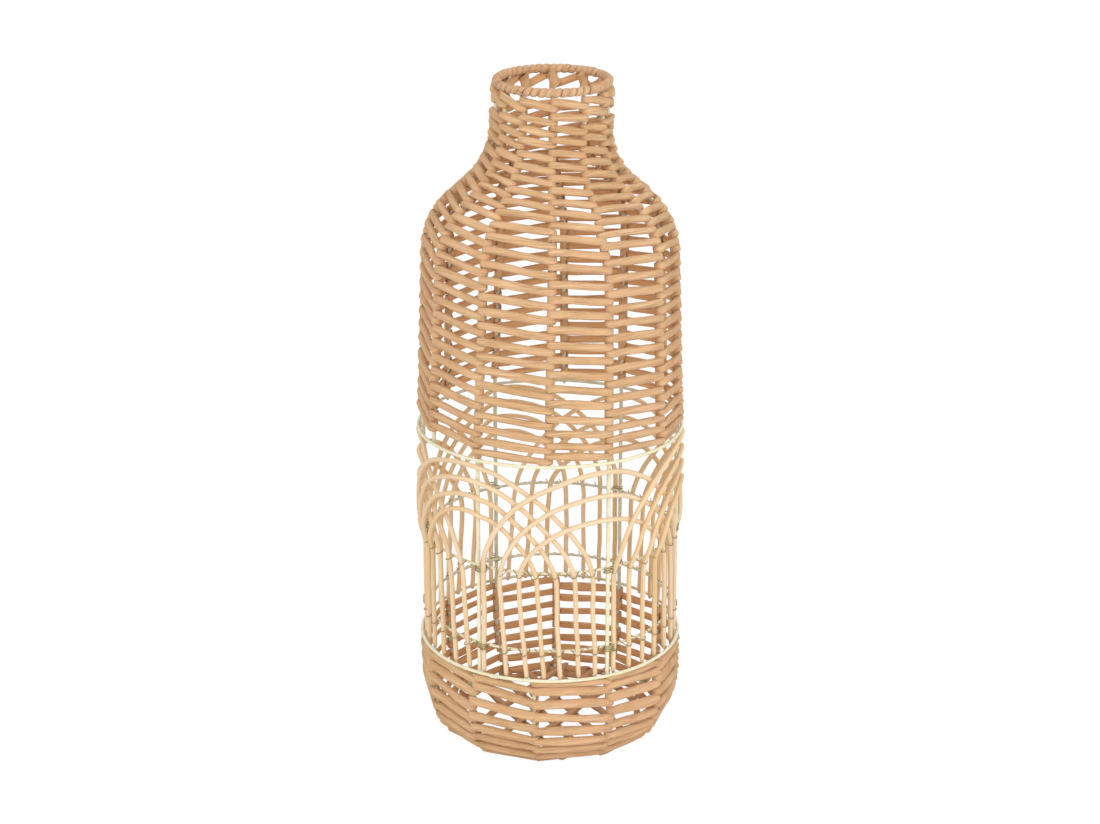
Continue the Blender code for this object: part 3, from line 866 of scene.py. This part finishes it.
ARCHES_PER_GROUP = (3, 4)
SLOTS = 7
FIRST_LEGS = (2.3, 3.0, 3.0, 2.5, 3.0, 2.3)
LAST_LEGS = (7.0, 7.0, 7.0, 9.9, 7.0, 9.6)
LEG_LEANS = ((0.0, 2.7, 3.8, 3.2, 2.0, 2.0, 1.3), (0.3, 0.2, 0.0, 0.4, 1.9, 3.4, 4.0))
CROWN_DROPS = (0.0062, 0.0036)
LATTICE_DEPTH = 0.0360
LEFT_SPRING_Z = 0.147
RIGHT_SPRING_Z = 0.154
RIGHT_HALF_POWER = 1.32
CROSSING_RISE = 0.010
CROSSING = (2.0, 7.5)
STICK_BELOW_RING = 0.0006
CURVE_POINTS = 60
STICK_POINTS = 116
BLUR_POINTS = 9


def leg(stake, slot):
    """A leg's azimuth at the arch's spring and at the foot, in one of seven slots after a long upright."""
    here, beyond = (float(stake_azimuth(2 * number, UPPER_TIE_Z)) for number in (stake, stake + 1))
    place = stake % LONG_STAKES
    span = beyond - here - FIRST_LEGS[place] - LAST_LEGS[place]
    spring = here + FIRST_LEGS[place] + span * slot / (SLOTS - 1)
    return spring, spring + LEG_LEANS[place % 2][slot]


def arch_line(group, rank, count, rng):
    """The middle line of one bent stick: azimuth, radius and height at points close together."""
    left, left_foot = leg(group, rank)
    right, right_foot = leg(group + 1, SLOTS - 1 - rank)
    middle = (left + right) / 2
    half = (right - left) / 2
    crown_z = UPPER_RING_Z - CROWN_DROPS[group % 2] - LATTICE_DEPTH * rank / (count - 1)
    foot_z = LOWER_RING_Z - STICK_BELOW_RING
    turn = np.linspace(0.0, math.pi / 2, CURVE_POINTS)
    fall = turn[-2::-1]
    height = np.concatenate([
        [foot_z],
        LEFT_SPRING_Z + (crown_z - LEFT_SPRING_Z) * np.sin(turn),
        RIGHT_SPRING_Z + (crown_z - RIGHT_SPRING_Z) * np.sin(fall) ** RIGHT_HALF_POWER,
        [foot_z],
    ])
    azimuth = np.concatenate([
        [left_foot],
        middle - half * np.cos(turn),
        middle + half * np.cos(fall) ** RIGHT_HALF_POWER,
        [right_foot],
    ])
    flat = at(azimuth, LEG_RADIUS, height)
    travelled = np.concatenate([[0.0], np.cumsum(np.linalg.norm(np.diff(flat, axis=0), axis=1))])
    even = np.linspace(0.0, travelled[-1], STICK_POINTS)
    azimuth, height = (np.interp(even, travelled, part) for part in (azimuth, height))
    over = smooth_step((height - UPPER_TIE_Z + TIE_RING_WIRE) / CROSSING_RISE)
    past_upright = azimuth - float(stake_azimuth(2 * group + 2, UPPER_TIE_Z))
    under = (past_upright - CROSSING[0]) / (CROSSING[1] - CROSSING[0])
    over = np.where(azimuth < middle, over, 1.0 - smooth_step(under))
    radius = LEG_RADIUS + (OVER_RADIUS - LEG_RADIUS) * over
    blur = np.hanning(BLUR_POINTS) / np.hanning(BLUR_POINTS).sum()
    edge = BLUR_POINTS // 2
    azimuth, radius, height = (
        np.concatenate([part[:edge], np.convolve(part, blur, "valid"), part[-edge:]])
        for part in (azimuth, radius, height)
    )
    held = np.minimum(1.0, np.minimum(even, even[-1] - even) / 0.02)
    azimuth = azimuth + held * wander(rng, even, 0.35, 0.11)
    height = height + held * wander(rng, even, 0.0005, 0.14)
    return azimuth, radius, height


def stick_piece(group, rank, count, rng):
    azimuth, radius, height = arch_line(group, rank, count, rng)
    swelling = wander(rng, np.linspace(0.0, 0.4, len(azimuth)), 0.03, 0.13)
    thick = STICK * (1.0 + swelling) * rng.uniform(0.94, 1.06)
    points = at(azimuth, radius, height)
    bent = strand(points, at(azimuth, 1.0, 0.0), thick, thick, start=rng.uniform(0.0, 40.0))
    name = f"stick_{group + 1}_{rank + 1}"
    tint = float(np.clip(rng.normal(0.35, 0.3), 0.0, 1.0))
    make_piece(name, [bent], STICK_FINISH, [f"arch_{group + 1}_{rank + 1}"], tint)
    return azimuth, height


rng = np.random.default_rng(23)
stick_lines = []
for group in range(LONG_STAKES):
    count = ARCHES_PER_GROUP[group % 2]
    stick_lines += [stick_piece(group, rank, count, rng) for rank in range(count)]
print("sticks:", len(stick_lines))

# %% [markdown]
# ## Binding wire
#
# Each stick is tied to both thin rings with a bit of fine wire: over the ring, down across the front of the
# stick and up again, with the snipped tail left standing. At the six long uprights a heavier wire goes
# round the upright and the stick beside it.

# %% Binding wire


def binding_wire():
    finish = Finish("binding_wire_look", Metallic=0.35, Roughness=0.45)
    place = finish.place()
    blotches = finish.noise(place, 220.0, 2.0)
    return finish.wear(
        Base_Color=finish.mix(blotches.between(0.35, 0.65), colour(146, 122, 84), colour(196, 176, 130)),
        Roughness=0.38 + blotches * 0.2,
    )


BINDING_FINISH = binding_wire()
FINE_WIRE = 0.00075
KNOT_WIRE = 0.0010
FINE_SIDES = 6
TIE_POINTS = 22
KNOT_POINTS = 44
KNOT_TURNS = 2.4
KNOT_ACROSS = 0.0046
KNOT_DEEP = 0.0027
KNOT_SPREAD = 0.0021


def curve_through(places, count):
    """A smooth curve through (azimuth, radius, height) places."""
    places = np.array(places, float)
    fine = np.linspace(0.0, len(places) - 1.0, count)
    index = np.clip(fine.astype(int), 0, len(places) - 2)
    share = (fine - index)[:, None]
    padded = np.concatenate([2 * places[:1] - places[1:2], places, 2 * places[-1:] - places[-2:-1]])
    before, start, end, after = (padded[index + shift] for shift in range(4))
    smooth = 0.5 * (
        2 * start
        + (end - before) * share
        + (2 * before - 5 * start + 4 * end - after) * share**2
        + (3 * start - before - 3 * end + after) * share**3
    )
    return at(smooth[:, 0], smooth[:, 1], smooth[:, 2])


def crossings(level):
    """Where the sticks cross a thin ring."""
    found = []
    for azimuth, height in stick_lines:
        top = int(np.argmax(height))
        found.append(np.interp(level, height[:top], azimuth[:top]))
        found.append(np.interp(level, height[:top:-1], azimuth[:top:-1]))
    return found


def tie(azimuth, height, rng):
    """Over the ring, down across the stick's front and up to a snipped tail."""
    front = LEG_RADIUS + STICK / 2 + FINE_WIRE / 2 + 0.0001
    over = TIE_RADIUS + TIE_RING_WIRE / 2 + FINE_WIRE / 2
    dip = rng.uniform(0.0018, 0.0030)
    reach = rng.uniform(2.6, 3.6)
    tail = rng.uniform(0.0010, 0.0034)
    places = [
        (azimuth - reach - 0.7, TIE_RADIUS - 0.0004, height + TIE_RING_WIRE / 2 + FINE_WIRE / 2),
        (azimuth - reach, over - 0.0003, height + 0.0006),
        (azimuth - reach * 0.62, over + 0.0005, height - dip * 0.55),
        (azimuth - 1.15, front - 0.0010, height - dip),
        (azimuth, front, height - dip * 0.95),
        (azimuth + 1.15, front - 0.0009, height - dip * 0.6),
        (azimuth + 1.9, over + 0.0008, height + 0.0002),
        (azimuth + 2.4 + rng.uniform(0.0, 0.5), over + rng.uniform(0.0003, 0.0022), height + tail),
    ]
    return wire_strand(curve_through(places, TIE_POINTS), FINE_WIRE, at(azimuth, 1.0, 0.0), FINE_SIDES)


def knot(azimuth, height, rng):
    """Almost two and a half turns round an upright and the stick beside it."""
    turn = np.linspace(0.0, math.tau * KNOT_TURNS, KNOT_POINTS)
    across = KNOT_ACROSS + 0.0004 * np.sin(turn * 0.5)
    centre = azimuth + FIRST_LEGS[0] / 2
    sideways = np.degrees(across / LEG_RADIUS) * np.cos(turn)
    spread = np.linspace(-KNOT_SPREAD, KNOT_SPREAD, KNOT_POINTS)
    climb = height + spread + 0.0009 * np.sin(turn + rng.uniform(0.0, 6.0))
    points = at(centre + sideways, LEG_RADIUS - 0.0003 + KNOT_DEEP * np.sin(turn), climb)
    return wire_strand(points, KNOT_WIRE, (0.0, 0.0, 1.0), FINE_SIDES)


rng = np.random.default_rng(5)
for title, height in (("lower", LOWER_TIE_Z), ("upper", UPPER_TIE_Z)):
    ties = [tie(azimuth, height, rng) for azimuth in crossings(height)]
    make_piece(f"ties_{title}", ties, BINDING_FINISH)
    knots = [knot(stake_azimuth(2 * index, height), height, rng) for index in range(LONG_STAKES)]
    make_piece(f"knots_{title}", knots, BINDING_FINISH)
    print(title, "ring:", len(ties), "ties and", len(knots), "knots")

# %% [markdown]
# ## The base
#
# The base hardly shows: a bound ring to stand on, and cords stretched across it in two layers. Where those
# cords are fastened, loops of cord go round the ring and the lowest row of the foot, which makes the foot's
# lower edge bumpy. The loops at the front stand where the photo shows bumps, and those behind are a guess.

# %% Bound ring and loops

BASE_TURNS = 64
BASE_CORD_Z = 0.0023
LOOPS_IN_FRONT = (-68.0, -51.0, -43.0, -10.0, 6.0, 50.0, 60.0, 72.0)
LOOPS_BEHIND = (104.0, 131.0, 158.0, 183.0, 209.0, 244.0, 268.0)
LOOP_POINTS = 22
LOOP_TURNS = 1.1
LOOP_SLANT = 1.6
LOOP_OUTSET = 0.0050
LOOP_REACH = (0.0048, 0.0058)
LOOP_Z = 0.0040
LOOP_HALF_HEIGHT = 0.0036
LOOP_WIDTH = 0.0052
LOOP_THICKNESS = 0.0018

rng = np.random.default_rng(31)
base_ring_cord = bound_ring(
    BASE_RING_RADIUS, BASE_CORD_Z, BASE_TURNS, coil_radius=0.0016, width=0.0064, thickness=0.0014, rng=rng
)
make_piece("base_ring_cord", [base_ring_cord], BASE_FINISH, ["base_ring"])
loops = []
for azimuth in LOOPS_IN_FRONT + LOOPS_BEHIND:
    turn = np.linspace(0.0, math.tau * LOOP_TURNS, LOOP_POINTS)
    reach = rng.uniform(*LOOP_REACH)
    slant = azimuth + np.linspace(-LOOP_SLANT, LOOP_SLANT, LOOP_POINTS)
    radius = BASE_RING_RADIUS + LOOP_OUTSET + reach * np.cos(turn)
    points = at(slant, radius, LOOP_Z + LOOP_HALF_HEIGHT * np.sin(turn))
    facing = at(slant, np.cos(turn), np.sin(turn))
    loops.append(strand(points, facing, LOOP_WIDTH, LOOP_THICKNESS, ridge=0.04))
make_piece("base_loops", loops, BASE_FINISH)
print("loops round the foot:", len(loops))

# %% Cords across the base

BAR_WIDTH = 0.0058
BAR_THICKNESS = 0.0034
BAR_POINTS = 31
LAYERS = (("lower", 4, 0.021, FIRST_STAKE + GROUP_STEP), ("upper", 3, 0.025, FIRST_STAKE))
for title, count, spacing, azimuth in LAYERS:
    height = middle_height(f"base_bar_{title}_1")
    along, side = at(azimuth, 1.0, 0.0), at(azimuth + 90.0, 1.0, 0.0)
    for index in range(count):
        offset = (index - (count - 1) / 2) * spacing
        reach = math.sqrt(BASE_RING_RADIUS**2 - offset**2)
        share = np.linspace(-1.0, 1.0, BAR_POINTS)
        points = at(0.0, 0.0, height) + share[:, None] * along * reach + side * offset
        points = points + side * wander(rng, share * reach, 0.0008, 0.06)[:, None]
        facing = np.broadcast_to(at(0.0, 0.0, 1.0), points.shape)
        bar = strand(points, facing, BAR_WIDTH, BAR_THICKNESS, square=2.4, ridge=0.04, start=index * 0.4)
        node = f"base_bar_{title}_{index + 1}"
        make_piece(f"base_cord_{title}_{index + 1}", [bar], BASE_FINISH, [node])

# %% [markdown]
# ## Floor and light
#
# The photo is high-key: a white ground and soft light from all round. The floor looks white to the camera
# but still takes the vase's shadow. The world is white where the camera sees it and a little dimmer where it
# lights the vase, so that pale wire and rattan don't clip to white.

# %% Floor

FLOOR_SIZE = 12.0
FLOOR_GREY = 0.86
FLOOR_GLOW = 1.03
GLOW_SHARE = 0.94
WHITE = (1.0, 1.0, 1.0, 1.0)

bpy.ops.mesh.primitive_plane_add(size=FLOOR_SIZE, location=(0.0, 0.0, 0.0))
floor = bpy.context.object
floor.name = "floor"
ground = Finish("white_ground", Roughness=1.0, Specular_IOR_Level=0.0)
ground.shader.inputs["Base Color"].default_value = (FLOOR_GREY, FLOOR_GREY, FLOOR_GREY, 1.0)
glow = ground.node("ShaderNodeEmission", {}, {"Color": WHITE, "Strength": FLOOR_GLOW})
seen = ground.node("ShaderNodeLightPath")
shaded = Value(ground, ground.shader.outputs[0])
both = ground.node("ShaderNodeMixShader", {}, {0: seen * GLOW_SHARE, 1: shaded, 2: glow})
ground.put(ground.tree.nodes["Material Output"].inputs["Surface"], both)
floor.data.materials.append(ground.material)

# %% Light from all round

WORLD_LIGHT = 0.75
WORLD_SEEN = 1.0

world = bpy.data.worlds.new("studio")
bpy.context.scene.world = world
world.use_nodes = True
sky = world.node_tree
path = sky.nodes.new("ShaderNodeLightPath")
strength = sky.nodes.new("ShaderNodeMapRange")
strength.inputs["To Min"].default_value = WORLD_LIGHT
strength.inputs["To Max"].default_value = WORLD_SEEN
sky.links.new(path.outputs["Is Camera Ray"], strength.inputs["Value"])
sky.nodes["Background"].inputs["Color"].default_value = WHITE
sky.links.new(strength.outputs["Result"], sky.nodes["Background"].inputs["Strength"])

# %% Soft lamps

LAMP_SIZE = 1.3
LAMP_TARGET = (0.0, 0.0, 0.30)


def soft_box(name, place, power):
    """A large square lamp that faces the middle of the vase."""
    lamp = bpy.data.lights.new(name, "AREA")
    lamp.shape = "SQUARE"
    lamp.size = LAMP_SIZE
    lamp.energy = power
    holder = bpy.data.objects.new(name, lamp)
    bpy.context.scene.collection.objects.link(holder)
    away = np.array(place) - np.array(LAMP_TARGET)
    holder.location = place
    holder.rotation_euler = (
        math.acos(away[2] / np.linalg.norm(away)),
        0.0,
        math.atan2(away[1], away[0]) + math.pi / 2,
    )


soft_box("key", (-0.6, -1.9, 1.5), 12.5)
soft_box("fill", (1.1, -1.5, 1.1), 9.0)
soft_box("back", (0.3, 2.1, 1.3), 9.0)
print("lamps:", len(bpy.data.lights))

# %% [markdown]
# ## The camera
#
# The camera was found by fitting the rings' ellipses: the flatter they look, the lower it stands. Its
# distance and height are given in radii of the rings, because that is how the fit gives them, and its lens
# in pixels of the photo's width.

# %% Camera

FOCAL_PIXELS = 2214.0
PHOTO_PIXELS = 1100.0
SENSOR_WIDTH = 36.0
LOOK_DOWN = 19.16
RADII_AWAY = 15.89
RADII_ABOVE_RING = 5.597

lens = bpy.data.cameras.new("camera")
lens.sensor_width = SENSOR_WIDTH
lens.lens = FOCAL_PIXELS / PHOTO_PIXELS * SENSOR_WIDTH
camera = bpy.data.objects.new("camera", lens)
bpy.context.scene.collection.objects.link(camera)
camera.location = (0.0, -RADII_AWAY * RING_RADIUS, UPPER_RING_Z + RADII_ABOVE_RING * RING_RADIUS)
camera.rotation_euler = (math.radians(90.0 - LOOK_DOWN), 0.0, 0.0)
bpy.context.scene.camera = camera
bpy.context.scene.view_settings.view_transform = "Standard"
